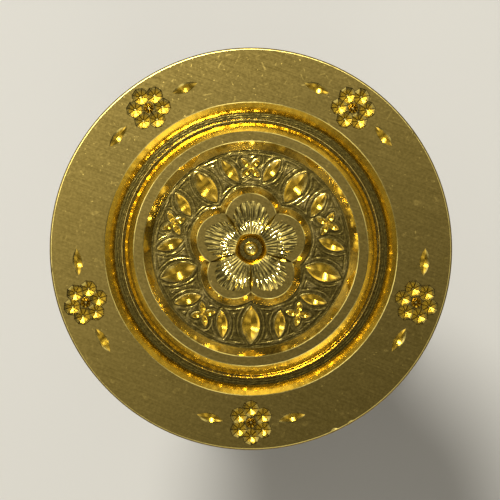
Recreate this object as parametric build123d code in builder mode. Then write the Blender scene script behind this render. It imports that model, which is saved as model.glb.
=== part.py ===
from build123d import *

import math
import os

os.makedirs("parts", exist_ok=True)

# Wax seal stamp: an engraved brass head that screws onto a stud in a turned wooden handle.
# Millimetres, +Z up. The stamp stands on the flat end of its handle with the engraved face
# on top, and the origin is the centre of that flat end.

# M6 x 1 thread that joins head, stud and insert
thread_pitch = 1.0
thread_major_radius = 2.95
thread_depth = 0.55
thread_root_share = 0.16
thread_flank_share = 0.36
thread_clearance = 0.1

# Stud, a length of threaded steel rod
stud_end_radius = 2.3
stud_setback = 1.0
stud_passage_clearance = 0.35

# Threaded insert, pressed into the tenon, with barbs that bite the wood
insert_length = 12.0
insert_wall = 1.75
insert_barb_depth = 0.45
insert_barb_count = 5

# Ferrule, a drawn brass cup over the handle's tenon
tenon_wall = 1.95
tenon_clearance = 0.05
ferrule_height = 10.0
ferrule_wall = 0.9
ferrule_floor = 1.2
ferrule_edge_radius = 0.7
ferrule_bead_height = 1.6
ferrule_bead_bulge = 0.7
ferrule_line_depth = 0.25
ferrule_line_spacing = 1.3

# Handle, turned from one piece of hardwood
handle_length = 62.0
handle_end_radius = 9.0
handle_belly_radius = 12.2
handle_belly_height = 20.0
handle_waist_radius = 6.9
handle_waist_drop = 10.0
handle_bead_height = 4.0
handle_bead_bulge = 1.0
handle_shoulder_width = 0.6
pilot_depth = 3.0

# Seat washer, held in a recess in the head's back
washer_width = 1.9
washer_thickness = 1.0
washer_proud = 0.4
washer_clearance = 0.08

# Seal head, turned from brass bar
head_radius = 12.5
head_height = 15.0
head_rim_height = 6.0
head_rim_step = 0.8
head_neck_wall = 2.1
head_neck_height = 3.0
head_edge_chamfer = 0.12
head_back_chamfer = 0.4
head_web = 2.5
hole_spare_depth = 1.2
drill_tip_half_angle = 59.0

# Engraving: the ring groove and the sunk medallion, cut with a V tool
wall_angle = 32.0
rim_width = 3.4
ring_depth = 0.95
ring_floor_width = 0.62
ring_ridge_width = 0.16
ring_ridge_height = 0.14
band_width = 0.6
medallion_depth = 0.8

# Engraving: the rose that stands in the medallion
petal_count = 5
petal_start_angle = 90.0
petal_radius = 1.6
petal_ring_radius = 1.85
petal_drop = 0.12
petal_dish_radius = 1.08
petal_dish_depth = 0.3
petal_seam_width = 0.3
heart_radius = 1.0
heart_depth = 0.5
heart_button_radius = 0.45

# Engraving: chip-carved leaves and florets round the rose
leaf_half_angle = 48.0
leaf_width = 1.1
leaf_margin = 0.28
side_leaf_length = 1.7
side_leaf_width = 0.66
side_leaf_spread = 15.0
side_leaf_tilt = 24.0
floret_petal_count = 4
floret_petal_length = 0.78
floret_petal_width = 0.36
floret_start_angle = 45.0

# Engraving: the blossoms on the rim, each with a leaf on either side
blossom_count = 5
blossom_lobe_count = 6
blossom_lobe_radius = 0.56
blossom_lobe_offset = 0.86
blossom_lobe_depth = 0.42
blossom_eye_radius = 0.34
blossom_eye_depth = 0.42
pit_floor_radius = 0.06
pit_facets = 8
rim_leaf_length = 1.7
rim_leaf_width = 0.6
rim_leaf_gap = 0.3

# Radii of the stack, from the thread outwards
tap_radius = thread_major_radius + thread_clearance
drill_radius = tap_radius - thread_depth
stud_passage_radius = thread_major_radius + stud_passage_clearance
insert_radius = tap_radius + insert_wall
tenon_radius = insert_radius + tenon_wall
ferrule_inner_radius = tenon_radius + tenon_clearance
ferrule_radius = ferrule_inner_radius + ferrule_wall
handle_bead_root_radius = ferrule_radius + handle_shoulder_width
washer_radius = stud_passage_radius + washer_width
recess_radius = washer_radius + washer_clearance
head_neck_radius = recess_radius + head_neck_wall

# Heights of the stack, from the handle's end up to the engraved face
shoulder_z = handle_length
handle_bead_z = shoulder_z - handle_bead_height
ferrule_top_z = shoulder_z + ferrule_height
tenon_top_z = ferrule_top_z - ferrule_floor
insert_bottom_z = tenon_top_z - insert_length
washer_top_z = ferrule_top_z + washer_thickness
head_back_z = ferrule_top_z + washer_proud
face_z = head_back_z + head_height
rim_bottom_z = face_z - head_rim_height
medallion_z = face_z - medallion_depth
drill_tip_height = drill_radius / math.tan(math.radians(drill_tip_half_angle))
hole_end_z = medallion_z - head_web - drill_tip_height
stud_top_z = hole_end_z - hole_spare_depth
stud_bottom_z = insert_bottom_z + stud_setback

# Radii of the engraving, from the head's edge inwards
wall_slope = math.tan(math.radians(wall_angle))
ring_outer_radius = head_radius - rim_width
ring_run = ring_depth * wall_slope
ring_floor_outer_radius = ring_outer_radius - ring_run
ring_floor_inner_radius = ring_floor_outer_radius - ring_floor_width
band_outer_radius = ring_floor_inner_radius - ring_run
medallion_edge_radius = band_outer_radius - band_width
medallion_floor_radius = medallion_edge_radius - medallion_depth * wall_slope

# How a cutter or a boss is held: by its lower or by its upper face
by_bottom = (Align.CENTER, Align.CENTER, Align.MIN)
by_top = (Align.CENTER, Align.CENTER, Align.MAX)


def thread_body(crest_radius, bottom_z, top_z):
    """A threaded rod that reaches past two heights, its skin ruled between helices turn by turn."""
    root_radius = crest_radius - thread_depth
    half_root = thread_root_share / 2
    crest_start = half_root + thread_flank_share
    profile = [
        (root_radius, -half_root),
        (root_radius, half_root),
        (crest_radius, crest_start),
        (crest_radius, 1 - crest_start),
        (root_radius, 1 - half_root),
    ]
    first_turn = math.floor((bottom_z - head_back_z) / thread_pitch) - 1
    last_turn = math.ceil((top_z - head_back_z) / thread_pitch) + 1

    def height(turn, level):
        return head_back_z + (turn + level) * thread_pitch

    def helix(radius, start_z):
        return Edge.make_helix(thread_pitch, thread_pitch, radius, center=(0, 0, start_z))

    skin = []
    for turn in range(first_turn, last_turn):
        edges = [helix(radius, height(turn, level)) for radius, level in profile]
        for lower, upper in zip(edges, edges[1:]):
            skin.append(Face.make_surface_from_curves(lower, upper))
    for turn in (first_turn, last_turn):
        start = (0, 0, height(turn, -half_root))
        end = (0, 0, height(turn, 1 - half_root))
        axis_edge = Edge.make_line(start, end)
        skin.append(Face.make_surface_from_curves(axis_edge, helix(root_radius, start[2])))
        corners = [(radius, 0, height(turn, level)) for radius, level in profile]
        skin.append(Face(Wire.make_polygon([start, *corners, end])))
    return Solid(Shell(skin))


def insert_outline():
    """Half section of the insert's outside: saw-tooth barbs, each wide at its upper edge."""
    step = insert_length / insert_barb_count
    root = insert_radius - insert_barb_depth
    points = [(0, tenon_top_z)]
    for barb in range(insert_barb_count):
        points.append((insert_radius, tenon_top_z - barb * step))
        points.append((root, tenon_top_z - (barb + 1) * step))
    points.append((0, insert_bottom_z))
    return points


def leaf_pit(length, width):
    """A chip-carved leaf along X: where two upturned cones meet, with its top at Z = 0."""
    cone_radius = (length**2 + width**2) / (4 * width)
    cone_height = cone_radius / math.tan(math.radians(leaf_half_angle))
    shift = cone_radius - width / 2
    with BuildPart() as pit:
        with Locations((0, shift, 0)):
            Cone(0, cone_radius, cone_height, align=by_top)
        with Locations((0, -shift, 0)):
            Cone(0, cone_radius, cone_height, align=by_top, mode=Mode.INTERSECT)
    return pit.part


def faceted_pit(radius, depth):
    """A pit whose flat facets run down to a narrow floor, with its top at Z = 0."""
    with BuildPart() as pit:
        with BuildSketch(Plane.XY):
            RegularPolygon(radius, pit_facets)
        with BuildSketch(Plane.XY.offset(-depth)):
            RegularPolygon(pit_floor_radius, pit_facets)
        loft(ruled=True)
    return pit.part


# Turned hardwood handle, with a tenon for the ferrule and a bore for the insert
with BuildPart() as handle:
    with BuildSketch(Plane.XZ):
        with BuildLine():
            end = (handle_end_radius, 0)
            belly = (handle_belly_radius, handle_belly_height)
            waist = (handle_waist_radius, handle_bead_z - handle_waist_drop)
            bead_bottom = (handle_bead_root_radius, handle_bead_z)
            bead_middle = (
                handle_bead_root_radius + handle_bead_bulge,
                (handle_bead_z + shoulder_z) / 2,
            )
            bead_top = (handle_bead_root_radius, shoulder_z)
            Spline(end, belly, tangents=[(1, 1), (0, 1)])
            Spline(belly, waist, tangents=[(0, 1), (0, 1)])
            Spline(waist, bead_bottom, tangents=[(0, 1), (1, 2)])
            ThreePointArc(bead_bottom, bead_middle, bead_top)
            Polyline(
                bead_top,
                (tenon_radius, shoulder_z),
                (tenon_radius, tenon_top_z),
                (0, tenon_top_z),
                (0, 0),
                end,
            )
        make_face()
    revolve(axis=Axis.Z)
    with BuildSketch(Plane.XZ):
        with BuildLine():
            Polyline(*insert_outline(), close=True)
        make_face()
    revolve(axis=Axis.Z, mode=Mode.SUBTRACT)
    with Locations((0, 0, insert_bottom_z)):
        Cylinder(stud_passage_radius, pilot_depth, align=by_top, mode=Mode.SUBTRACT)
handle.part.label = "handle"
export_step(handle.part, "parts/handle.step")


# Barbed brass insert with the thread through it
with BuildPart() as threaded_insert:
    with BuildSketch(Plane.XZ):
        with BuildLine():
            Polyline(*insert_outline(), close=True)
        make_face()
    revolve(axis=Axis.Z)
    add(thread_body(tap_radius, insert_bottom_z, tenon_top_z), mode=Mode.SUBTRACT)
threaded_insert.part.label = "threaded_insert"
export_step(threaded_insert.part, "parts/threaded_insert.step")


# Steel stud, threaded all along, with both ends chamfered at 45 degrees
with BuildPart() as stud:
    add(thread_body(thread_major_radius, stud_bottom_z, stud_top_z))
    with BuildSketch(Plane.XZ):
        with BuildLine():
            chamfer_height = tap_radius - stud_end_radius
            Polyline(
                (0, stud_bottom_z),
                (stud_end_radius, stud_bottom_z),
                (tap_radius, stud_bottom_z + chamfer_height),
                (tap_radius, stud_top_z - chamfer_height),
                (stud_end_radius, stud_top_z),
                (0, stud_top_z),
                close=True,
            )
        make_face()
    revolve(axis=Axis.Z, mode=Mode.INTERSECT)
stud.part.label = "stud"
export_step(stud.part, "parts/stud.step")


# Brass ferrule: a cup whose floor takes the head, with a rolled bead at its mouth
with BuildPart() as ferrule:
    with BuildSketch(Plane.XZ):
        with BuildLine():
            bead_top_z = shoulder_z + ferrule_bead_height
            edge_z = ferrule_top_z - ferrule_edge_radius
            Polyline(
                (ferrule_radius, shoulder_z),
                (ferrule_inner_radius, shoulder_z),
                (ferrule_inner_radius, tenon_top_z),
                (stud_passage_radius, tenon_top_z),
                (stud_passage_radius, ferrule_top_z),
                (ferrule_radius - ferrule_edge_radius, ferrule_top_z),
            )
            RadiusArc(
                (ferrule_radius - ferrule_edge_radius, ferrule_top_z),
                (ferrule_radius, edge_z),
                ferrule_edge_radius,
            )
            Line((ferrule_radius, edge_z), (ferrule_radius, bead_top_z))
            ThreePointArc(
                (ferrule_radius, bead_top_z),
                (ferrule_radius + ferrule_bead_bulge, (bead_top_z + shoulder_z) / 2),
                (ferrule_radius, shoulder_z),
            )
        make_face()
    revolve(axis=Axis.Z)
    with BuildSketch(Plane.XZ):
        for side in (-1, 1):
            with BuildLine():
                line_z = (bead_top_z + edge_z + side * ferrule_line_spacing) / 2
                Polyline(
                    (ferrule_radius, line_z - ferrule_line_depth),
                    (ferrule_radius - ferrule_line_depth, line_z),
                    (ferrule_radius, line_z + ferrule_line_depth),
                    close=True,
                )
            make_face()
    revolve(axis=Axis.Z, mode=Mode.SUBTRACT)
ferrule.part.label = "ferrule"
export_step(ferrule.part, "parts/ferrule.step")


# Fibre washer that seats the head on the ferrule
with BuildPart() as seat_washer:
    with BuildSketch(Plane.XY.offset(ferrule_top_z)):
        Circle(washer_radius)
        Circle(stud_passage_radius, mode=Mode.SUBTRACT)
    extrude(amount=washer_thickness)
seat_washer.part.label = "seat_washer"
export_step(seat_washer.part, "parts/seat_washer.step")


# Layout of the engraving
petal_height = medallion_depth - petal_drop
petal_base_radius = petal_radius + petal_height * wall_slope
rose_reach = petal_ring_radius + petal_base_radius
dish_sphere_radius = (petal_dish_radius**2 + petal_dish_depth**2) / (2 * petal_dish_depth)
bisector_angle = petal_start_angle + 180 / petal_count
leaf_inner_radius = rose_reach - leaf_margin
leaf_outer_radius = medallion_floor_radius - leaf_margin
garland_radius = (rose_reach + medallion_floor_radius) / 2
blossom_ring_radius = head_radius - rim_width / 2
rim_leaf_offset = blossom_lobe_offset + blossom_lobe_radius + rim_leaf_gap + rim_leaf_length / 2
rim_leaf_spread = math.degrees(rim_leaf_offset / blossom_ring_radius)

# Cutters for the engraving, each with its top at Z = 0
leaf = leaf_pit(leaf_outer_radius - leaf_inner_radius, leaf_width)
side_leaf = leaf_pit(side_leaf_length, side_leaf_width)
floret_petal = leaf_pit(floret_petal_length, floret_petal_width)
petal_seam = leaf_pit(2 * (petal_ring_radius - heart_radius), petal_seam_width)
rim_leaf = leaf_pit(rim_leaf_length, rim_leaf_width)
blossom_lobe = faceted_pit(blossom_lobe_radius, blossom_lobe_depth)
blossom_eye = faceted_pit(blossom_eye_radius, blossom_eye_depth)

# Tap for the hole in the head's back, cut off square at its upper end
with BuildPart() as tap_build:
    add(thread_body(tap_radius, head_back_z, hole_end_z))
    with Locations((0, 0, head_back_z)):
        Cylinder(recess_radius, hole_end_z - head_back_z, align=by_bottom, mode=Mode.INTERSECT)
tap = tap_build.part


# Brass seal head: turned body, engraved on the face, recessed and tapped at the back
with BuildPart() as seal_head:
    with BuildSketch(Plane.XZ):
        with BuildLine():
            cove_start = (head_neck_radius, head_back_z + head_neck_height)
            cove_end = (head_radius - head_rim_step, rim_bottom_z - head_rim_step)
            TangentArc(cove_start, cove_end, tangent=(0, 1))
            Polyline(
                cove_end,
                (head_radius - head_rim_step, rim_bottom_z),
                (head_radius - head_back_chamfer, rim_bottom_z),
                (head_radius, rim_bottom_z + head_back_chamfer),
                (head_radius, face_z - head_edge_chamfer),
                (head_radius - head_edge_chamfer, face_z),
                (0, face_z),
                (0, head_back_z),
                (head_neck_radius - head_back_chamfer, head_back_z),
                (head_neck_radius, head_back_z + head_back_chamfer),
                cove_start,
            )
        make_face()
    revolve(axis=Axis.Z)

    # Ring groove, with a fine ridge left along the inner side of its floor
    with BuildSketch(Plane.XZ):
        with BuildLine():
            ring_floor_z = face_z - ring_depth
            ridge_radius = ring_floor_inner_radius + ring_ridge_width
            Polyline(
                (ring_outer_radius, face_z),
                (ring_floor_outer_radius, ring_floor_z),
                (ridge_radius + ring_ridge_width / 2, ring_floor_z),
                (ridge_radius, ring_floor_z + ring_ridge_height),
                (ridge_radius - ring_ridge_width / 2, ring_floor_z),
                (ring_floor_inner_radius, ring_floor_z),
                (band_outer_radius, face_z),
                close=True,
            )
        make_face()
    revolve(axis=Axis.Z, mode=Mode.SUBTRACT)

    # Sunk medallion
    with Locations((0, 0, medallion_z)):
        Cone(
            medallion_floor_radius,
            medallion_edge_radius,
            medallion_depth,
            align=by_bottom,
            mode=Mode.SUBTRACT,
        )

    # Rose: petals that stand in the medallion, each dished, with a heart in the middle
    with Locations((0, 0, medallion_z)):
        with PolarLocations(petal_ring_radius, petal_count, petal_start_angle):
            Cone(petal_base_radius, petal_radius, petal_height, align=by_bottom)
    with Locations((0, 0, medallion_z + petal_height)):
        with PolarLocations(petal_ring_radius, petal_count, petal_start_angle):
            with Locations((0, 0, dish_sphere_radius - petal_dish_depth)):
                Sphere(dish_sphere_radius, mode=Mode.SUBTRACT)
        with PolarLocations(petal_ring_radius, petal_count, bisector_angle):
            add(petal_seam, mode=Mode.SUBTRACT)
        Cone(
            heart_radius - heart_depth * wall_slope,
            heart_radius,
            heart_depth,
            align=by_top,
            mode=Mode.SUBTRACT,
        )
        with Locations((0, 0, -heart_depth)):
            Sphere(heart_button_radius)

    # Leaves between the petals, and a floret between two side leaves beyond each petal
    with Locations((0, 0, medallion_z)):
        with PolarLocations((leaf_inner_radius + leaf_outer_radius) / 2, petal_count, bisector_angle):
            add(leaf, mode=Mode.SUBTRACT)
        for side in (-1, 1):
            side_leaf_angle = petal_start_angle + side * side_leaf_spread
            with PolarLocations(garland_radius, petal_count, side_leaf_angle):
                with Locations(Location((0, 0, 0), (0, 0, side * side_leaf_tilt))):
                    add(side_leaf, mode=Mode.SUBTRACT)
        with PolarLocations(garland_radius, petal_count, petal_start_angle):
            with PolarLocations(floret_petal_length / 2, floret_petal_count, floret_start_angle):
                add(floret_petal, mode=Mode.SUBTRACT)

    # Blossoms on the rim, each with a leaf on either side
    with Locations((0, 0, face_z)):
        with PolarLocations(blossom_ring_radius, blossom_count, bisector_angle):
            with PolarLocations(blossom_lobe_offset, blossom_lobe_count):
                add(blossom_lobe, mode=Mode.SUBTRACT)
            add(blossom_eye, mode=Mode.SUBTRACT)
        for side in (-1, 1):
            rim_leaf_angle = bisector_angle + side * rim_leaf_spread
            with PolarLocations(blossom_ring_radius, blossom_count, rim_leaf_angle):
                with Locations(Location((0, 0, 0), (0, 0, 90))):
                    add(rim_leaf, mode=Mode.SUBTRACT)

    # Recess for the washer, then the tapped hole with the drill's tip above it
    with Locations((0, 0, head_back_z)):
        Cylinder(recess_radius, washer_top_z - head_back_z, align=by_bottom, mode=Mode.SUBTRACT)
    with Locations((0, 0, hole_end_z)):
        Cone(drill_radius, 0, drill_tip_height, align=by_bottom, mode=Mode.SUBTRACT)
    add(tap, mode=Mode.SUBTRACT)
seal_head.part.label = "seal_head"
export_step(seal_head.part, "parts/seal_head.step")
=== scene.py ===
import math

import bpy
from mathutils import Matrix, Vector, noise


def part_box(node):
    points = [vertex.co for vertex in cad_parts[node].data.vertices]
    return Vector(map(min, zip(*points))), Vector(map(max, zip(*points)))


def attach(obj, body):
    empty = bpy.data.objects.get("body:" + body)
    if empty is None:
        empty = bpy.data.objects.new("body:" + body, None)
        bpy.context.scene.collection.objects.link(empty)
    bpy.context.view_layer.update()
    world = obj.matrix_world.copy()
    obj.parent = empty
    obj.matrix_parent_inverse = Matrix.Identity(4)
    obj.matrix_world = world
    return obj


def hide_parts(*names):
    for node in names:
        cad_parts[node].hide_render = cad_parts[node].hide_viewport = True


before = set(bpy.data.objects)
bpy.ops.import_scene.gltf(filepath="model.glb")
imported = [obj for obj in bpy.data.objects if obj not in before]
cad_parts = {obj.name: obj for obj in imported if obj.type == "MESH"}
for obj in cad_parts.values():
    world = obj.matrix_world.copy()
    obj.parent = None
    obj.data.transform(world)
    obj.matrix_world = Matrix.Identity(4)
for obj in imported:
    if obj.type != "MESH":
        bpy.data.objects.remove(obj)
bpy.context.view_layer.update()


# Handle: one piece of dark hardwood, turned on a lathe to a pear shape with a bead at the top.
# It is sanded and oiled. The flat end, which the stamp stands on, shows the end grain.

mm = 0.001


class Reading:
    """A value read off a surface point by point; sums and products of readings add Math nodes."""

    def __init__(self, output):
        self.output = output

    def node(self, kind, settings, inputs, result=0):
        """Adds a node with its settings, then the values or links of its sockets."""
        tree = self.output.id_data
        made = tree.nodes.new(kind)
        for name, setting in settings.items():
            if name == "stops":
                ramp = made.color_ramp
                for position, _ in setting[1:-1]:
                    ramp.elements.new(position)
                ramp.elements[0].position = setting[0][0]
                ramp.elements[-1].position = setting[-1][0]
                for element, (_, colour) in zip(ramp.elements, setting):
                    element.color = (*colour, 1)
            else:
                setattr(made, name, setting)
        for name, value in inputs.items():
            if isinstance(value, Reading):
                tree.links.new(value.output, made.inputs[name])
            else:
                made.inputs[name].default_value = value
        return Reading(made.outputs[result])

    def maths(self, operation, first, second=0.0):
        return self.node("ShaderNodeMath", {"operation": operation}, {0: first, 1: second})

    def __add__(self, other):
        return self.maths("ADD", self, other)

    __radd__ = __add__

    def __sub__(self, other):
        return self.maths("SUBTRACT", self, other)

    def __rsub__(self, other):
        return self.maths("SUBTRACT", other, self)

    def __mul__(self, other):
        return self.maths("MULTIPLY", self, other)

    __rmul__ = __mul__

    def __truediv__(self, other):
        return self.maths("DIVIDE", self, other)

    def __pow__(self, other):
        return self.maths("POWER", self, other)

    def root(self):
        return self.maths("SQRT", self)

    def part(self):
        """What is left after the last whole number."""
        return self.maths("FRACT", self)

    def axes(self):
        split = self.node("ShaderNodeSeparateXYZ", {}, {"Vector": self}).output.node
        return [Reading(output) for output in split.outputs]

    def cloud(self, sizes, detail=2.0, roughness=0.5, turn=0.0):
        """Noise from 0 to 1 at a place, with puffs of these sizes, turned about Z."""
        sizing = {"Vector": self, "Scale": sizes, "Rotation": (0, 0, turn)}
        sized = self.node("ShaderNodeMapping", {"vector_type": "TEXTURE"}, sizing)
        inputs = {"Vector": sized, "Scale": 1.0, "Detail": detail, "Roughness": roughness}
        return self.node("ShaderNodeTexNoise", {}, inputs)

    def lines(self, width, detail=2.0):
        """Noise from 0 to 1 along one number, with lines of this width."""
        inputs = {"W": self / width, "Scale": 1.0, "Detail": detail}
        return self.node("ShaderNodeTexNoise", {"noise_dimensions": "1D"}, inputs)

    def step(self, low, high):
        """A soft step from 0 to 1 as the value goes from low to high."""
        inputs = {"Value": self, "From Min": low, "From Max": high}
        return self.node("ShaderNodeMapRange", {"interpolation_type": "SMOOTHSTEP"}, inputs)

    def ramp(self, *stops):
        return self.node("ShaderNodeValToRGB", {"stops": stops}, {"Fac": self})

    def blend(self, first, second):
        """The first colour where the value is 0 and the second where it is 1."""
        inputs = {0: self, 6: first, 7: second}
        return self.node("ShaderNodeMix", {"data_type": "RGBA"}, inputs, 2)

    def bump(self, depth):
        return self.node("ShaderNodeBump", {}, {"Height": self, "Strength": 1.0, "Distance": depth})


def new_finish(name):
    """A bare material, with its shader and the place of each point on the piece."""
    material = bpy.data.materials.new(name)
    material.use_nodes = True
    tree = material.node_tree
    shader = tree.nodes["Principled BSDF"]
    place = Reading(tree.nodes.new("ShaderNodeTexCoord").outputs["Object"])
    return material, shader, place


def set_finish(shader, values):
    for name, value in values.items():
        if isinstance(value, Reading):
            shader.id_data.links.new(value.output, shader.inputs[name])
        else:
            shader.inputs[name].default_value = value


def coat_node(node, material):
    """Gives a piece from the drawing its finish."""
    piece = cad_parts[node]
    piece.data.materials.clear()
    piece.data.materials.append(material)


hardwood, shader, place = new_finish("oiled hardwood")
x, y, z = place.axes()
sway = place.cloud((22 * mm, 22 * mm, 55 * mm)) - 0.5
pith_x, pith_y = 19 * mm, -7 * mm
year_ring = 2.6 * mm
across = ((x + pith_x) ** 2 + (y + pith_y) ** 2).root() + sway * (5 * mm)
season = (across / year_ring).part()
late_wood = season**3
fibre = place.cloud((0.42 * mm, 0.42 * mm, 14 * mm), 4.0, 0.6)
pore = place.cloud((0.2 * mm, 0.2 * mm, 3.8 * mm), 1.0).step(0.6, 0.72) * (1 - 0.5 * season)
tone = (0.5 * late_wood + 0.9 * (fibre - 0.5) + 0.25 * sway + 0.3).ramp(
    (0.0, (0.052, 0.021, 0.010)), (0.45, (0.105, 0.043, 0.019)), (1.0, (0.185, 0.083, 0.036))
)
wood_colour = (0.75 * pore).blend(tone, (0.02, 0.009, 0.005, 1))
set_finish(
    shader,
    {
        "Base Color": wood_colour,
        "Roughness": 0.36 + 0.12 * fibre + 0.15 * pore,
        "Coat Weight": 0.35 - 0.3 * pore,
        "Coat Roughness": 0.22,
        "Normal": (fibre * 0.3 - pore).bump(0.03 * mm),
    },
)
coat_node("handle", hardwood)


# Threaded insert: a brass bush with barbs, pressed into the tenon at the top of the handle.
# It is machined from bar, and its thread holds the lower half of the stud.

machined_brass, shader, place = new_finish("machined brass")
x, y, z = place.axes()
tool_lines = ((x**2 + y**2).root() + z).lines(0.11 * mm)
set_finish(
    shader,
    {
        "Base Color": (0.78, 0.55, 0.19, 1),
        "Metallic": 1.0,
        "Roughness": 0.26 + 0.2 * tool_lines,
        "Normal": tool_lines.bump(0.01 * mm),
    },
)
coat_node("threaded_insert", machined_brass)


# Stud: a length of M6 rod of zinc-plated steel, rolled with a thread and chamfered at both ends.
# It is screwed into the insert and stands out of the ferrule for the head.

zinc_steel, shader, place = new_finish("zinc-plated steel")
spangle = place.cloud((0.55 * mm,) * 3, 3.0, 0.6)
set_finish(
    shader,
    {
        "Base Color": spangle.ramp((0.25, (0.50, 0.51, 0.53)), (0.75, (0.66, 0.66, 0.65))),
        "Metallic": 1.0,
        "Roughness": 0.24 + 0.2 * spangle,
    },
)
coat_node("stud", zinc_steel)


# Ferrule: a brass cup, drawn from sheet and polished, pressed over the tenon down to the shoulder.
# A bead is rolled at its mouth and two lines are turned round it.

polished_brass, shader, place = new_finish("polished brass")
x, y, z = place.axes()
buffing = ((x**2 + y**2).root() + z).lines(0.07 * mm, 3.0)
handling = place.cloud((3.8 * mm,) * 3, 4.0, 0.6)
set_finish(
    shader,
    {
        "Base Color": handling.ramp((0.3, (0.80, 0.56, 0.19)), (0.75, (0.72, 0.48, 0.15))),
        "Metallic": 1.0,
        "Roughness": 0.1 + 0.12 * handling + 0.06 * buffing,
        "Normal": buffing.bump(0.002 * mm),
    },
)
coat_node("ferrule", polished_brass)


# Seat washer: a ring punched from red fibre board, held in a recess in the head's back.
# It takes the head's pressure on the ferrule, so that the screwed-up head doesn't work loose.

red_fibre, shader, place = new_finish("red fibre")
felting = place.cloud((0.3 * mm, 0.3 * mm, 0.1 * mm), 4.0, 0.65)
set_finish(
    shader,
    {
        "Base Color": felting.ramp((0.3, (0.20, 0.030, 0.018)), (0.7, (0.34, 0.060, 0.034))),
        "Roughness": 0.62 + 0.2 * felting,
        "Normal": felting.bump(0.02 * mm),
    },
)
coat_node("seat_washer", red_fibre)


# Seal head: turned from brass bar, tapped at the back, lapped flat on the face and then engraved
# with small V tools. A rose stands in a sunk medallion inside a ring groove, blossoms go round it.

head_low, head_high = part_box("seal_head")
face_z = round(head_high.z, 6)
head_back_z = round(head_low.z, 6)
head_radius = round(head_high.x, 6)
head_edge_round = 0.12 * mm
rim_bottom_z = face_z - 6 * mm
rim_step = 0.8 * mm
back_chamfer = 0.4 * mm
neck_radius = 7.38 * mm
neck_height = 3 * mm
edge_break = 0.03 * mm

wall_slope = math.tan(math.radians(32))
ring_depth = 0.95 * mm
ring_floor_width = 0.62 * mm
ring_ridge_width = 0.16 * mm
ring_ridge_height = 0.14 * mm
ring_outer = head_radius - 3.4 * mm
ring_floor_outer = ring_outer - ring_depth * wall_slope
ring_floor_inner = ring_floor_outer - ring_floor_width
ring_ridge = ring_floor_inner + ring_ridge_width
ring_floor_z = face_z - ring_depth
band_outer = ring_floor_inner - ring_depth * wall_slope
medallion_depth = 0.8 * mm
medallion_z = face_z - medallion_depth
medallion_edge = band_outer - 0.6 * mm
medallion_floor = medallion_edge - medallion_depth * wall_slope

fifth = 2 * math.pi / 5
petal_angle = math.pi / 2
between_petals = petal_angle + fifth / 2
petal_radius = 1.6 * mm
petal_ring = 1.85 * mm
petal_top = face_z - 0.12 * mm
petal_base = petal_radius + (petal_top - medallion_z) * wall_slope
dish_width = 1.08 * mm
dish_depth = 0.3 * mm
flute_angle = math.radians(8)
flute_depth = 0.06 * mm
heart_radius = 1.0 * mm
heart_depth = 0.5 * mm
heart_floor_z = petal_top - heart_depth
button_radius = 0.45 * mm
seam_length = 2 * (petal_ring - heart_radius)
seam_width = 0.3 * mm
rose_reach = petal_ring + petal_base
garland = (rose_reach + medallion_floor) / 2
leaf_margin = 0.28 * mm
leaf_inner = rose_reach - leaf_margin
leaf_outer = medallion_floor - leaf_margin
leaf_middle = (leaf_inner + leaf_outer) / 2
leaf_length = leaf_outer - leaf_inner
leaf_width = 1.1 * mm
leaf_half_angle = math.radians(48)
side_leaf_length = 1.7 * mm
side_leaf_width = 0.66 * mm
side_leaf_spread = math.radians(15)
side_leaf_tilt = math.radians(24)
floret_petal_length = 0.78 * mm
floret_petal_width = 0.36 * mm
blossom_ring = head_radius - 1.7 * mm
lobe_offset = 0.86 * mm
lobe_radius = 0.56 * mm
lobe_depth = 0.42 * mm
eye_radius = 0.34 * mm
eye_depth = 0.42 * mm
pit_floor = 0.06 * mm
pit_facets = 8
facet_angle = 2 * math.pi / pit_facets
rim_leaf_length = 1.7 * mm
rim_leaf_width = 0.6 * mm
rim_leaf_reach = lobe_offset + lobe_radius + 0.3 * mm + rim_leaf_length / 2
clear = 0.1 * mm
touching = 0.001 * mm


def turned(name, outline, steps):
    """A lathe-turned piece: its half section, drawn point by point from the axis, is spun."""
    bpy.ops.object.select_all(action="DESELECT")
    bpy.ops.mesh.primitive_plane_add(size=mm)
    piece = bpy.context.object
    piece.name = name
    bpy.ops.object.mode_set(mode="EDIT")
    bpy.ops.mesh.merge(type="CENTER")
    bpy.ops.transform.translate(value=(outline[0][0], 0, outline[0][1]))
    for start, end in zip(outline, outline[1:]):
        step = (end[0] - start[0], 0, end[1] - start[1])
        bpy.ops.mesh.extrude_vertices_move(TRANSFORM_OT_translate={"value": step})
    bpy.ops.mesh.select_all(action="SELECT")
    bpy.ops.mesh.spin(steps=steps, angle=2 * math.pi, center=(0, 0, 0), axis=(0, 0, 1))
    bpy.ops.mesh.select_all(action="SELECT")
    bpy.ops.mesh.remove_doubles(threshold=touching)
    bpy.ops.mesh.normals_make_consistent(inside=False)
    bpy.ops.object.mode_set(mode="OBJECT")
    return piece


def cut(piece, tool, operation):
    """Takes a tool's shape off a piece, or joins it on, and removes the tool."""
    modifier = piece.modifiers.new("cut", "BOOLEAN")
    modifier.object = tool
    modifier.operation = operation
    modifier.solver = "MANIFOLD"
    bpy.context.view_layer.objects.active = piece
    bpy.ops.object.modifier_apply(modifier=modifier.name)
    bpy.data.objects.remove(tool)


def copied(tool, angle):
    """A copy of a tool with its own mesh, turned about the head's axis."""
    copy = tool.copy()
    copy.data = tool.data.copy()
    bpy.context.collection.objects.link(copy)
    copy.data.transform(Matrix.Rotation(angle, 4, "Z"))
    return copy


def wreath(tool, start_angle):
    """Five copies of a tool set round the axis and joined."""
    copies = [copied(tool, start_angle + turn * fifth) for turn in range(5)]
    bpy.data.objects.remove(tool)
    bpy.ops.object.select_all(action="DESELECT")
    for copy in copies:
        copy.select_set(True)
    bpy.context.view_layer.objects.active = copies[0]
    bpy.ops.object.join()
    return copies[0]


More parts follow.
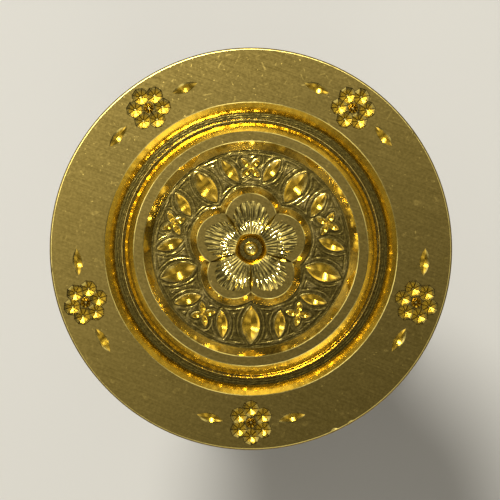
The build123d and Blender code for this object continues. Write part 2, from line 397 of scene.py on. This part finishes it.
def frustum(bottom_radius, top_radius, bottom_z, top_z, sides, where=(0, 0)):
    bpy.ops.object.select_all(action="DESELECT")
    bpy.ops.mesh.primitive_cone_add(
        vertices=sides,
        radius1=bottom_radius,
        radius2=top_radius,
        depth=top_z - bottom_z,
        location=(*where, (bottom_z + top_z) / 2),
    )
    bpy.ops.object.transform_apply(location=True)
    return bpy.context.object


def punched_pit(radius, depth, where):
    """A small faceted punch, set to its depth below the face."""
    top_radius = radius + clear * (radius - pit_floor) / depth
    return frustum(pit_floor, top_radius, face_z - depth, face_z + clear, pit_facets, where)


def ball(radius, where):
    bpy.ops.object.select_all(action="DESELECT")
    bpy.ops.mesh.primitive_uv_sphere_add(segments=72, ring_count=36, radius=radius, location=where)
    bpy.ops.object.transform_apply(location=True)
    return bpy.context.object


def leaf_tool(length, width, top_z, where, angle):
    """A chip-carving tool: a strip with a keel, shaped to a leaf and closed above the surface."""
    arc_radius = (length**2 + width**2) / (4 * width)
    shift = arc_radius - width / 2
    bpy.ops.object.select_all(action="DESELECT")
    bpy.ops.mesh.primitive_grid_add(x_subdivisions=16, y_subdivisions=2, size=2)
    tool = bpy.context.object
    for vertex in tool.data.vertices:
        along = vertex.co.x * length / 2 * 0.999
        half_width = math.sqrt(arc_radius**2 - along**2) - shift
        depth = (arc_radius - math.sqrt(shift**2 + along**2)) / math.tan(leaf_half_angle)
        keel = 1 - abs(vertex.co.y)
        vertex.co = (along, vertex.co.y * half_width, -keel * depth)
    bpy.ops.object.mode_set(mode="EDIT")
    bpy.ops.mesh.select_all(action="SELECT")
    bpy.ops.mesh.extrude_region_move(TRANSFORM_OT_translate={"value": (0, 0, clear)})
    bpy.ops.transform.resize(value=(1, 1, 0), center_override=(0, 0, clear))
    bpy.ops.mesh.select_all(action="SELECT")
    bpy.ops.mesh.normals_make_consistent(inside=False)
    bpy.ops.object.mode_set(mode="OBJECT")
    tool.data.transform(Matrix.Translation((*where, top_z)) @ Matrix.Rotation(angle, 4, "Z"))
    return tool


# The blank's half section, from the middle of the face round the edge to the middle of the back

floor_start = 2.4 * mm
floor_rings = 76
edge_steps = 6
cove_steps = 16
outline = [(0, medallion_z)]
for ring in range(floor_rings + 1):
    outline.append((floor_start + (medallion_floor - floor_start) * ring / floor_rings, medallion_z))
outline += [
    (medallion_edge - edge_break * wall_slope, face_z - edge_break),
    (medallion_edge + edge_break, face_z),
    (band_outer - edge_break, face_z),
    (band_outer + edge_break * wall_slope, face_z - edge_break),
    (ring_floor_inner, ring_floor_z),
    (ring_ridge - ring_ridge_width / 2, ring_floor_z),
    (ring_ridge - ring_ridge_width / 8, ring_floor_z + ring_ridge_height),
    (ring_ridge + ring_ridge_width / 8, ring_floor_z + ring_ridge_height),
    (ring_ridge + ring_ridge_width / 2, ring_floor_z),
    (ring_floor_outer, ring_floor_z),
    (ring_outer - edge_break * wall_slope, face_z - edge_break),
    (ring_outer + edge_break, face_z),
]
for step in range(edge_steps + 1):
    turn = math.pi / 2 * step / edge_steps
    outline.append(
        (
            head_radius - head_edge_round * (1 - math.sin(turn)),
            face_z - head_edge_round * (1 - math.cos(turn)),
        )
    )
outline += [
    (head_radius, rim_bottom_z + back_chamfer),
    (head_radius - back_chamfer, rim_bottom_z),
    (head_radius - rim_step, rim_bottom_z),
    (head_radius - rim_step, rim_bottom_z - rim_step),
]
cove_start = Vector((neck_radius, head_back_z + neck_height))
cove_chord = Vector(outline[-1]) - cove_start
cove_turn = 2 * math.atan2(cove_chord.x, cove_chord.y)
cove_radius = cove_chord.length / (2 * math.sin(cove_turn / 2))
for step in reversed(range(cove_steps)):
    turn = cove_turn * step / cove_steps
    outline.append(
        (cove_start.x + cove_radius * (1 - math.cos(turn)), cove_start.y + cove_radius * math.sin(turn))
    )
outline += [
    (neck_radius, head_back_z + back_chamfer),
    (neck_radius - back_chamfer, head_back_z),
    (0, head_back_z),
]
head = turned("seal_head_engraved", outline, steps=640)


def leaf_distance(x, y, where, where_angle, direction, length, width):
    """How far a point lies outside a leaf's outline, in the fold of one petal."""
    dx = x - where * math.cos(where_angle)
    dy = y - where * math.sin(where_angle)
    along = abs(dx * math.cos(direction) + dy * math.sin(direction))
    across = abs(dy * math.cos(direction) - dx * math.sin(direction))
    arc_radius = (length**2 + width**2) / (4 * width)
    shift = arc_radius - width / 2
    if (along - length / 2) * shift > across * length / 2:
        return math.hypot(along - length / 2, across)
    return math.hypot(along, across + shift) - arc_radius


def carved_distance(x, y):
    """How far a point of the medallion's floor lies from the nearest carved outline."""
    radius = math.hypot(x, y)
    angle = abs((math.atan2(y, x) - petal_angle + fifth / 2) % fifth - fifth / 2)
    u, v = radius * math.cos(angle), radius * math.sin(angle)
    side_leaf_form = (side_leaf_spread + side_leaf_tilt, side_leaf_length, side_leaf_width)
    distances = [
        medallion_floor - radius,
        math.hypot(u - petal_ring, v) - petal_base,
        leaf_distance(u, v, leaf_middle, fifth / 2, fifth / 2, leaf_length, leaf_width),
        leaf_distance(u, v, garland, side_leaf_spread, *side_leaf_form),
    ]
    for direction in (math.pi / 4, 3 * math.pi / 4):
        petal_u = u - floret_petal_length / 2 * math.cos(direction)
        petal_v = v - floret_petal_length / 2 * math.sin(direction)
        floret_form = (direction, floret_petal_length, floret_petal_width)
        distances.append(leaf_distance(petal_u, petal_v, garland, 0, *floret_form))
    return min(distances)


# Tool passes on the medallion's floor, burrs along the ring's edges and nicks in the outer edge

pass_width = 0.25 * mm
pass_depth = 0.009 * mm
pass_wander = 0.12 * mm
floor_margin = 0.02 * mm
burr_depth = 0.012 * mm
nick_depth = 0.4 * mm
for vertex in head.data.vertices:
    height = vertex.co.z
    radius = math.hypot(vertex.co.x, vertex.co.y)
    inside_medallion = floor_start < radius < medallion_floor - floor_margin
    round_ring = medallion_floor < radius < ring_outer + 2 * edge_break
    round_edge = radius > head_radius - head_edge_round - touching
    if inside_medallion and abs(height - medallion_z) < touching:
        wander = noise.noise(vertex.co / (1.1 * mm))
        passes = (carved_distance(vertex.co.x, vertex.co.y) + pass_wander * wander) / pass_width
        cusp = abs(2 * (passes % 1) - 1)
        chatter = noise.noise(vertex.co / (0.3 * mm))
        strength = 0.75 + 0.6 * noise.noise(vertex.co / (0.7 * mm))
        vertex.co.z += pass_depth * (strength * (cusp - 0.5) + 0.5 * wander + 0.45 * chatter)
    elif round_ring and height > ring_floor_z - touching:
        burr = burr_depth * noise.noise(vertex.co / (0.35 * mm))
        vertex.co.xy *= 1 + burr / radius
    elif round_edge and height > face_z - 0.8 * head_edge_round:
        nick = nick_depth * max(noise.noise(vertex.co / (0.5 * mm)) - 0.5, 0)
        vertex.co.xy *= 1 - nick / radius

# The rose: five petals with fluted dishes, seams between them, and a sunk heart with a button

petal_outline = [
    (0, medallion_z - clear),
    (petal_base + clear * wall_slope, medallion_z - clear),
    (petal_radius + edge_break * wall_slope, petal_top - edge_break),
    (petal_radius - edge_break, petal_top),
    (0, petal_top),
]
petal = turned("petal", petal_outline, steps=128)
petal.data.transform(Matrix.Translation((petal_ring, 0, 0)))
for turn in range(5):
    cut(head, copied(petal, petal_angle + turn * fifth), "UNION")
bpy.data.objects.remove(petal)
dish_radius = (dish_width**2 + dish_depth**2) / (2 * dish_depth)
dish_edge = math.acos((dish_radius - dish_depth - clear) / dish_radius)
dish_rings = 22
dish_outline = []
for ring in range(dish_rings + 1):
    turn = dish_edge * ring / dish_rings
    lift = dish_radius * (1 - math.cos(turn))
    dish_outline.append((dish_radius * math.sin(turn), petal_top - dish_depth + lift))
dish_outline.append((0, dish_outline[-1][1]))
dish = turned("dish", dish_outline, steps=144)
for vertex in dish.data.vertices:
    vertex.co.x += petal_ring
    radius = math.hypot(vertex.co.x, vertex.co.y)
    waver = 0.15 * noise.noise(vertex.co / (0.6 * mm))
    across = math.atan2(vertex.co.y, vertex.co.x) / flute_angle + waver
    force = flute_depth * radius / petal_ring * (1 + 0.5 * noise.noise(vertex.co / (0.5 * mm)))
    if vertex.co.z < petal_top + clear / 2:
        vertex.co.z += force * (4 * (across % 1 - 0.5) ** 2 - 0.6)
cut(head, wreath(dish, petal_angle), "DIFFERENCE")
seam = leaf_tool(seam_length, seam_width, petal_top, (petal_ring, 0), 0)
cut(head, wreath(seam, between_petals), "DIFFERENCE")
heart = frustum(
    heart_radius - heart_depth * wall_slope,
    heart_radius + clear * wall_slope,
    heart_floor_z,
    petal_top + clear,
    sides=96,
)
cut(head, heart, "DIFFERENCE")
cut(head, ball(button_radius, (0, 0, heart_floor_z)), "UNION")

# Chip-carved leaves and florets on the medallion's floor

leaf = leaf_tool(leaf_length, leaf_width, medallion_z, (leaf_middle, 0), 0)
cut(head, wreath(leaf, between_petals), "DIFFERENCE")
for side in (-1, 1):
    spread = side * side_leaf_spread
    where = (garland * math.cos(spread), garland * math.sin(spread))
    direction = spread + side * side_leaf_tilt
    side_leaf = leaf_tool(side_leaf_length, side_leaf_width, medallion_z, where, direction)
    cut(head, wreath(side_leaf, petal_angle), "DIFFERENCE")
for quarter in range(4):
    direction = math.pi / 4 + quarter * math.pi / 2
    where = (
        garland + floret_petal_length / 2 * math.cos(direction),
        floret_petal_length / 2 * math.sin(direction),
    )
    floret_petal = leaf_tool(floret_petal_length, floret_petal_width, medallion_z, where, direction)
    cut(head, wreath(floret_petal, petal_angle), "DIFFERENCE")

# Blossoms of faceted pits on the rim, each between two leaves

blossom_pits = [(Vector((0, 0)), eye_radius, eye_depth)]
for lobe in range(6):
    direction = lobe * math.pi / 3
    centre = Vector((math.cos(direction), math.sin(direction))) * lobe_offset
    blossom_pits.append((centre, lobe_radius, lobe_depth))
for centre, radius, depth in blossom_pits:
    pit = punched_pit(radius, depth, (blossom_ring + centre.x, centre.y))
    cut(head, wreath(pit, between_petals), "DIFFERENCE")
for side in (-1, 1):
    spread = side * rim_leaf_reach / blossom_ring
    where = (blossom_ring * math.cos(spread), blossom_ring * math.sin(spread))
    rim_leaf = leaf_tool(rim_leaf_length, rim_leaf_width, face_z, where, spread + math.pi / 2)
    cut(head, wreath(rim_leaf, between_petals), "DIFFERENCE")

# The back: a recess for the washer, a drilled hole and its thread, cut with the stud as the tap

washer_clearance = 0.08 * mm
washer_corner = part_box("seat_washer")[1]
recess_radius = round(washer_corner.x, 6) + washer_clearance
recess_floor_z = round(washer_corner.z, 6)
washer_recess = frustum(recess_radius, recess_radius, head_back_z - clear, recess_floor_z, sides=128)
cut(head, washer_recess, "DIFFERENCE")
drill_radius = 2.5 * mm
drill_end_z = 82.6 * mm
drill_half_angle = math.radians(59)
drill_tip = drill_radius / math.tan(drill_half_angle)
drill = turned(
    "drill",
    [
        (0, drill_end_z + drill_tip),
        (drill_radius, drill_end_z),
        (drill_radius, head_back_z - clear),
        (0, head_back_z - clear),
    ],
    steps=96,
)
cut(head, drill, "DIFFERENCE")
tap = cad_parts["stud"].copy()
tap.data = tap.data.copy()
bpy.context.collection.objects.link(tap)
bpy.ops.object.select_all(action="DESELECT")
tap.select_set(True)
bpy.context.view_layer.objects.active = tap
bpy.ops.object.mode_set(mode="EDIT")
bpy.ops.mesh.select_all(action="SELECT")
bpy.ops.mesh.remove_doubles(threshold=touching / 2)
bpy.ops.object.mode_set(mode="OBJECT")
bpy.ops.mesh.customdata_custom_splitnormals_clear()
stud_radius = 2.95 * mm
thread_clearance = 0.1 * mm
tap_oversize = (stud_radius + thread_clearance) / stud_radius
tap.data.transform(Matrix.Diagonal((tap_oversize, tap_oversize, 1, 1)))
cut(head, tap, "DIFFERENCE")

# Marks on the mesh that tell the finish which tool made each surface, and in which direction

sharp_edge = math.radians(22)
level_normal = 0.9995
gentle_normal = 0.8
level_slack = 0.002 * mm
floor_relief = 0.05 * mm
body_top_z = face_z - 2 * mm
bpy.ops.object.select_all(action="DESELECT")
head.select_set(True)
bpy.context.view_layer.objects.active = head
bpy.ops.object.shade_smooth_by_angle(angle=sharp_edge)
lapped, milled, lathed = [], [], []
for face in head.data.polygons:
    height = face.center.z
    radius = math.hypot(face.center.x, face.center.y)
    level = face.normal.z > level_normal
    gentle = face.normal.z > gentle_normal
    on_face = level and height > petal_top - level_slack
    on_ring_floor = level and abs(height - ring_floor_z) < level_slack
    near_floor = gentle and abs(height - medallion_z) < floor_relief
    outside_ring = radius > ring_outer + edge_break
    below_pits = height < face_z - lobe_depth
    lapped.append(on_face)
    milled.append(on_ring_floor or (near_floor and radius < medallion_floor))
    lathed.append((outside_ring and below_pits and not gentle) or height < body_top_z)
    face.use_smooth = not on_face
for region, faces in (("lapped", lapped), ("milled", milled), ("lathed", lathed)):
    marks = head.data.attributes.new(region, "FLOAT", "FACE")
    marks.data.foreach_set("value", [float(each) for each in faces])

tool_path = []
for vertex in head.data.vertices:
    radius = math.hypot(vertex.co.x, vertex.co.y)
    if radius < medallion_floor and abs(vertex.co.z - medallion_z) < floor_relief:
        tool_path.append(carved_distance(vertex.co.x, vertex.co.y))
    else:
        tool_path.append(radius)
head.data.attributes.new("tool_path", "FLOAT", "POINT").data.foreach_set("value", tool_path)


def in_blossom(point):
    """A point's place from the middle of its blossom, with x away from the head's axis."""
    angle = (math.atan2(point.y, point.x) - between_petals + fifth / 2) % fifth - fifth / 2
    radius = math.hypot(point.x, point.y)
    return Vector((radius * math.cos(angle) - blossom_ring, radius * math.sin(angle)))


# Each pit's corners get their place within their facet, so that the finish can paint shade in the
# creases between facets
facet_normal = 0.95
pit_facet = [0.0] * (3 * len(head.data.loops))
for face in head.data.polygons:
    middle = in_blossom(face.center)
    off_blossom = middle.length > lobe_offset + lobe_radius
    deeper_than_pits = face.center.z < face_z - 2 * lobe_depth
    if face.normal.z > facet_normal or off_blossom or deeper_than_pits:
        continue
    depth_here = [
        depth * (radius - (middle - centre).length) / (radius - pit_floor)
        for centre, radius, depth in blossom_pits
    ]
    centre = blossom_pits[depth_here.index(max(depth_here))][0]
    toward = middle - centre
    side = (math.floor(math.atan2(toward.y, toward.x) / facet_angle) + 0.5) * facet_angle
    for corner, vertex in zip(face.loop_indices, face.vertices):
        spot = in_blossom(head.data.vertices[vertex].co) - centre
        outward = spot.x * math.cos(side) + spot.y * math.sin(side)
        sideways = spot.y * math.cos(side) - spot.x * math.sin(side)
        pit_facet[3 * corner : 3 * corner + 3] = (outward, sideways, 1.0)
head.data.attributes.new("pit_facet", "FLOAT_VECTOR", "CORNER").data.foreach_set("vector", pit_facet)

# The finish: brushed flats, bright cuts, grey-brown floors and a turned outside, with painted shade in
# the pits' creases and lips and a painted dark reflection round the outer edge

engraved_brass, shader, place = new_finish("engraved brass")
x, y, z = place.axes()
on_flat, on_floor, on_body, path = [
    place.node("ShaderNodeAttribute", {"attribute_name": name}, {}, "Fac")
    for name in ("lapped", "milled", "lathed", "tool_path")
]
mottle = place.cloud((0.16 * mm,) * 3, 2.0, 0.6)
lap_slant = math.radians(-20)
lap_marks = place.cloud((4 * mm, 0.06 * mm, 4 * mm), 2.0, 0.6, lap_slant)
brushing = place.cloud((1.3 * mm, 0.13 * mm, 4 * mm), 3.0, 0.6, lap_slant)
stain = place.cloud((2.6 * mm,) * 3, 3.0, 0.6)
flat_colour = (0.4 * mottle + 0.2 * lap_marks + 0.3 * brushing + 0.1 * stain).ramp(
    (0.35, (0.63, 0.446, 0.096)), (0.65, (0.95, 0.684, 0.170))
)
speck = place.cloud((0.13 * mm,) * 3, 0.0).step(0.8, 0.84)
scratch = 0.0
for slant, patch in ((25, 0.5 * mm), (100, 0.62 * mm), (150, 0.56 * mm)):
    across = x * math.cos(math.radians(slant)) + y * math.sin(math.radians(slant))
    line = ((across.lines(1.1 * mm, 0.0) - 0.5) ** 2).step(0.0003, 0.00005)
    scratch = scratch + line * place.cloud((patch,) * 3, 0.0).step(0.7, 0.75)
flat_roughness = 0.066 + 0.037 * mottle + 0.035 * lap_marks + 0.06 * speck + 0.028 * scratch
striae = place.cloud((0.2 * mm, 0.2 * mm, 1.5 * mm), 3.0, 0.6)
cut_colour = striae.ramp((0.3, (0.80, 0.60, 0.15)), (0.7, (0.92, 0.73, 0.21)))
from_axis = (x**2 + y**2).root()
in_rose = from_axis.step(petal_ring + dish_width + edge_break, petal_ring + dish_width)
near_face = z.step(face_z - 0.5 * mm, face_z - 0.2 * mm)
worn_edge = near_face * from_axis.step(head_radius - 0.125 * mm, head_radius - 0.115 * mm)
cut_roughness = 0.1 + 0.1 * striae - 0.035 * in_rose + 0.2 * worn_edge
flute = ((place.maths("ARCTAN2", y, x) - petal_angle) / flute_angle).part()
valley = 1 - place.maths("ABSOLUTE", 2 * flute - 1)
residue = valley * in_rose * from_axis.step(heart_radius, heart_radius + 0.1 * mm) * (0.3 + stain)
cut_colour = residue.blend(cut_colour, (0.15, 0.105, 0.02, 1))
facet = place.node("ShaderNodeAttribute", {"attribute_name": "pit_facet"}, {}, "Vector")
outward, sideways, in_pit = facet.axes()
half_facet = facet_angle / 2
from_crease = outward * math.sin(half_facet) - place.maths("ABSOLUTE", sideways) * math.cos(half_facet)
# Painted shade: the creases where a pit's facets meet and the lip round each pit's top are darkened
crease = from_crease.step(0.038 * mm, 0.015 * mm)
lip = z.step(face_z - 0.045 * mm, face_z - 0.018 * mm)
painted_pit_shade = 0.9 * place.maths("MAXIMUM", crease, lip)
pit_colour = painted_pit_shade.blend((0.93, 0.72, 0.18, 1), (0.13, 0.08, 0.022, 1))
cut_colour = in_pit.blend(cut_colour, pit_colour)
cut_roughness = cut_roughness + 0.02 * in_pit
grit = place.cloud((0.1 * mm,) * 3, 2.0, 0.6)
in_heart = from_axis.step(heart_radius, heart_radius - 0.05 * mm)
in_heart = in_heart * z.step(heart_floor_z + 0.05 * mm, heart_floor_z + 0.01 * mm)
heart_colour = grit.ramp((0.3, (0.17, 0.120, 0.020)), (0.7, (0.50, 0.370, 0.090)))
cut_colour = in_heart.blend(cut_colour, heart_colour)
feed_width = 0.14 * mm
drift = place.cloud((0.45 * mm,) * 3, 3.0, 0.6) - 0.5
feed = place.maths("ABSOLUTE", 2 * ((path + 0.2 * mm * drift) / feed_width).part() - 1)
bite = place.cloud((0.35 * mm,) * 3, 1.0).step(0.3, 0.65)
crest = place.maths("MAXIMUM", (z - medallion_z) / pass_depth, -0.3)
floor_colour = (0.45 + 0.35 * crest + 0.5 * (grit - 0.5) + 0.3 * bite * (feed - 0.5)).ramp(
    (0.15, (0.10, 0.071, 0.011)), (0.5, (0.33, 0.240, 0.052)), (0.85, (0.80, 0.605, 0.200))
)
floor_roughness = 0.105 + 0.06 * grit
rings = (from_axis + z).lines(0.06 * mm, 3.0)
body_roughness = 0.2 + 0.16 * rings
body_colour = (0.6 * rings + 0.4 * stain).ramp(
    (0.35, (0.72, 0.510, 0.165)), (0.65, (0.83, 0.595, 0.205))
)
# Painted dark reflection: a thin dark line on the outer part of the rounded edge stands in for the dark
# that its outer slope mirrors, and trims the edge's highlight
edge = from_axis.step(head_radius - 0.085 * mm, head_radius - 0.06 * mm)
cut_with_painted_dark_rim = (0.85 * near_face * edge).blend(cut_colour, (0.16, 0.09, 0.025, 1))
cut_or_turned = on_body.blend(cut_with_painted_dark_rim, body_colour)
colour = on_flat.blend(on_floor.blend(cut_or_turned, floor_colour), flat_colour)
roughness = (
    cut_roughness * (1 - on_flat - on_floor - on_body)
    + flat_roughness * on_flat
    + floor_roughness * on_floor
    + body_roughness * on_body
)
relief = (
    striae * (0.6 * (1 - on_flat - on_floor - on_body))
    + (0.18 * grit + 0.28 * bite * feed) * on_floor
    + rings * (0.4 * on_body)
    + (0.04 * brushing) * on_flat
)
set_finish(
    shader,
    {"Base Color": colour, "Metallic": 1.0, "Roughness": roughness, "Normal": relief.bump(0.012 * mm)},
)
head.data.materials.clear()
head.data.materials.append(engraved_brass)
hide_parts("seal_head")
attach(head, "head_body")


# Table: a pale laminate top that the stamp stands on, made as one plain sheet.
# It isn't part of the stamp.

bpy.ops.object.select_all(action="DESELECT")
table_width = 4000 * mm
bpy.ops.mesh.primitive_plane_add(size=table_width)
table = bpy.context.object
table.name = "table"
laminate, shader, place = new_finish("pale laminate")
set_finish(shader, {"Base Color": (0.63, 0.605, 0.53, 1), "Roughness": 0.55})
table.data.materials.append(laminate)


# Light: a small softbox high behind the stamp, a little to the left, in a dim room.
# Windows stand round the room, some of them low, and lamps hang from the ceiling.
# Each is a soft spot of light in one direction, so that the cut walls have something to mirror.

scene = bpy.context.scene
room = bpy.data.worlds.new("room")
scene.world = room
room.use_nodes = True
tree = room.node_tree
background = tree.nodes["Background"]
direction = Reading(tree.nodes.new("ShaderNodeTexCoord").outputs["Generated"])
rise = direction.axes()[2].ramp(
    (0.0, (0.04,) * 3), (0.35, (0.05,) * 3), (0.55, (0.12,) * 3), (0.8, (0.12,) * 3), (1.0, (0.05,) * 3)
)
high_windows = (
    ((-0.45, 0.64, 0.62), 2.2),
    ((-0.88, 0.23, 0.42), 1.1),
    ((0.22, 0.84, 0.50), 0.9),
    ((0.07, -0.82, 0.57), 1.8),
    ((0.66, -0.56, 0.50), 0.6),
    ((0.85, 0.31, 0.42), 0.8),
    ((-0.57, -0.68, 0.47), 0.9),
)
low_windows = (
    ((0.48, -0.83, 0.28), 1.5),
    ((-0.83, 0.48, 0.28), 1.5),
    ((0.50, 0.82, 0.28), 0.9),
    ((-0.88, -0.38, 0.28), 0.7),
)
ceiling_lamps = (
    ((-0.207, 0.022, 0.978), 0.52),
    ((0.122, 0.168, 0.978), 0.27),
    ((0.452, -0.040, 0.891), 0.35),
    ((0.385, -0.241, 0.891), 0.45),
    ((0.234, -0.389, 0.891), 0.55),
    ((0.032, -0.453, 0.891), 0.45),
)
glow = rise
for spots, sharpness in ((high_windows, 40), (low_windows, 60), (ceiling_lamps, 90)):
    for toward, strength in spots:
        ends = {0: direction, 1: toward}
        facing = direction.node("ShaderNodeVectorMath", {"operation": "DOT_PRODUCT"}, ends, "Value")
        glow = glow + strength * facing.maths("MAXIMUM", facing, 0.0) ** sharpness
tree.links.new(glow.output, background.inputs["Strength"])
background.inputs["Color"].default_value = (1.0, 0.985, 0.95, 1)

key = bpy.data.objects.new("softbox", bpy.data.lights.new("softbox", "AREA"))
scene.collection.objects.link(key)
key.data.shape = "DISK"
key.data.size = 80 * mm
key.data.energy = 2.95
key_off_vertical = math.radians(18)
key_bearing = math.radians(113)
key_distance = 550 * mm
key.location = (
    key_distance * math.sin(key_off_vertical) * math.cos(key_bearing),
    key_distance * math.sin(key_off_vertical) * math.sin(key_bearing),
    face_z + key_distance * math.cos(key_off_vertical),
)
key.rotation_euler = (key.location - Vector((0, 0, face_z))).to_track_quat("Z", "Y").to_euler()


# Camera: straight above the face, as close as a hand-held camera would be.
# The face takes up four fifths of the picture's width, a touch off its middle.

camera = bpy.data.objects.new("camera", bpy.data.cameras.new("camera"))
scene.collection.objects.link(camera)
scene.camera = camera
camera_height = 180 * mm
image_width_px = 500
face_radius_px = 201.4
face_right_px, face_up_px = 0.9, 1.2
sensor_width = 36
camera.location = (0, 0, face_z + camera_height)
camera.data.sensor_width = sensor_width
camera.data.lens = face_radius_px / image_width_px * sensor_width * camera_height / head_radius
camera.data.clip_start = 1 * mm
camera.data.shift_x = -face_right_px / image_width_px
camera.data.shift_y = -face_up_px / image_width_px

scene.view_settings.view_transform = "Standard"
